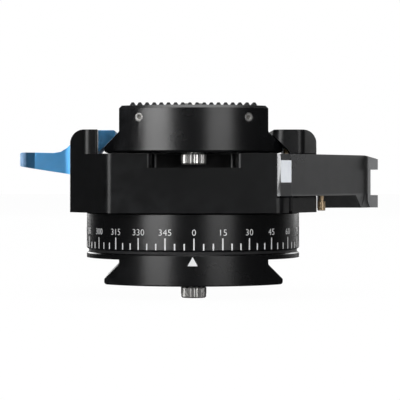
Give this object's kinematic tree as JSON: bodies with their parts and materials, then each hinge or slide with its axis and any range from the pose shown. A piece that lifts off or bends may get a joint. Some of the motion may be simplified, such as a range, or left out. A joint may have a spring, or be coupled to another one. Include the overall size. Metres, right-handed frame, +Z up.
{
  "type": "panoramic tripod head with lever clamp",
  "caption": "Round panning tripod head with a degree dial, a dovetail foot, a lever-locked dovetail clamp and a camera plate with a captive screw.",
  "frame": {"origin": "on the panning axis at the bottom face of the dovetail foot", "axes": "+Z up along the panning axis, -Y to the front with the index mark, +X to the side of the lock lever"},
  "size_m": [0.0791, 0.0585, 0.0417],
  "materials": {
    "black_anodised": "fine bead-blasted black anodising",
    "grey_anodised": "satin grey anodising",
    "blue_anodised": "satin blue anodising",
    "bright_steel": "turned stainless steel",
    "dark_steel": "blackened steel",
    "brass": "turned brass",
    "bronze": "plain bearing bronze",
    "rubber": "matt ribbed rubber",
    "nylon": "matt nylon"
  },
  "bodies": {
    "foot": {"foot_dovetail": "black_anodised", "foot_thread_insert": "bright_steel", "glide_ring": "nylon", "spindle": "bright_steel", "spindle_screw_1": "dark_steel", "spindle_screw_2": "dark_steel", "spindle_screw_3": "dark_steel", "thrust_washer": "bright_steel", "spring_washer": "bright_steel", "spindle_lock_nut": "dark_steel"},
    "foot_screw_front": {"foot_stop_screw_front": "bright_steel"},
    "foot_screw_rear": {"foot_stop_screw_rear": "bright_steel"},
    "turntable": {"dial_drum": "black_anodised", "pan_bush": "bronze", "clamp_base": "black_anodised", "base_screw_1": "dark_steel", "base_screw_2": "dark_steel", "base_screw_3": "dark_steel", "base_screw_4": "dark_steel", "release_pivot_pin": "bright_steel", "release_spring_1": "bright_steel", "release_spring_2": "bright_steel", "jaw_guide_pin_1": "bright_steel", "jaw_guide_pin_2": "bright_steel", "jaw_spring_1": "bright_steel", "jaw_spring_2": "bright_steel", "plunger_spring": "bright_steel", "lever_shoulder_screw": "dark_steel"},
    "release_lever_body": {"release_lever": "blue_anodised"},
    "jaw_body": {"sliding_jaw": "black_anodised"},
    "plunger_body": {"jaw_plunger": "brass"},
    "lock_lever_body": {"lock_lever": "grey_anodised", "lever_roller": "brass"},
    "camera_plate": {"quick_release_plate": "black_anodised", "grip_pad": "rubber", "plate_set_screw_1": "bright_steel", "plate_set_screw_2": "bright_steel", "screw_snap_ring": "dark_steel"},
    "plate_screw_front": {"plate_stop_screw_front": "bright_steel"},
    "plate_screw_rear": {"plate_stop_screw_rear": "bright_steel"},
    "screw_washer_body": {"camera_screw_washer": "nylon"},
    "camera_screw_body": {"camera_screw": "bright_steel"},
    "brake_body": {"brake_shoe": "bronze"},
    "pan_lock_body": {"pan_lock_stud": "bright_steel", "pan_lock_knob": "black_anodised"}
  },
  "joints": [
    {"name": "pan_turn", "type": "hinge", "parent": "foot", "child": "turntable", "pos_m": [0, 0, 0.0113], "axis": [0, 0, 1], "continuous": true},
    {"name": "foot_screw_front_turn", "type": "hinge", "parent": "foot", "child": "foot_screw_front", "pos_m": [0, -0.0175, 0], "axis": [0, 0, 1], "continuous": true},
    {"name": "foot_screw_rear_turn", "type": "hinge", "parent": "foot", "child": "foot_screw_rear", "pos_m": [0, 0.0175, 0], "axis": [0, 0, 1], "continuous": true},
    {"name": "release_lever_tilt", "type": "hinge", "parent": "turntable", "child": "release_lever_body", "pos_m": [-0.0226, 0, 0.0236], "axis": [0, -1, 0], "range_deg": [0, 16], "stiffness_Nm_per_rad": 0.4, "springref_deg": -11.46, "deforming": ["release_spring_1", "release_spring_2"]},
    {"name": "lock_lever_swing", "type": "hinge", "parent": "turntable", "child": "lock_lever_body", "pos_m": [0.0192, -0.02015, 0.0232], "axis": [0, 0, -1], "range_deg": [0, 100]},
    {"name": "jaw_slide", "type": "slide", "parent": "turntable", "child": "jaw_body", "axis": [1, 0, 0], "range_m": [0, 0.00099483]},
    {"name": "plunger_press", "type": "slide", "parent": "turntable", "child": "plunger_body", "axis": [0, 0, -1], "range_m": [0, 0.001], "stiffness_N_per_m": 300, "springref_m": -0.001, "deforming": ["plunger_spring"]},
    {"name": "plate_slide", "type": "slide", "parent": "turntable", "child": "camera_plate", "axis": [0, 1, 0], "range_m": [-0.002, 0.002]},
    {"name": "plate_screw_front_turn", "type": "hinge", "parent": "camera_plate", "child": "plate_screw_front", "pos_m": [0, -0.0175, 0.028], "axis": [0, 0, 1], "continuous": true},
    {"name": "plate_screw_rear_turn", "type": "hinge", "parent": "camera_plate", "child": "plate_screw_rear", "pos_m": [0, 0.0175, 0.028], "axis": [0, 0, 1], "continuous": true},
    {"name": "camera_screw_lift", "type": "slide", "parent": "camera_plate", "child": "screw_washer_body", "axis": [0, 0, 1], "range_m": [0, 0.0042]},
    {"name": "camera_screw_turn", "type": "hinge", "parent": "screw_washer_body", "child": "camera_screw_body", "pos_m": [0, 0, 0.034], "axis": [0, 0, 1], "continuous": true},
    {"name": "brake_slide", "type": "slide", "parent": "turntable", "child": "brake_body", "axis": [0, -1, 0], "range_m": [0, 0.0002916]},
    {"name": "pan_lock_turn", "type": "hinge", "parent": "brake_body", "child": "pan_lock_body", "pos_m": [0, 0.03, 0.0111], "axis": [0, -1, 0], "range_deg": [0, 150]}
  ],
  "couplings": [
    {"joint": "lock_lever_swing", "follows": "jaw_slide", "rad_per_m": 1754.4},
    {"joint": "pan_lock_turn", "follows": "brake_slide", "rad_per_m": 8976.7}
  ]
}
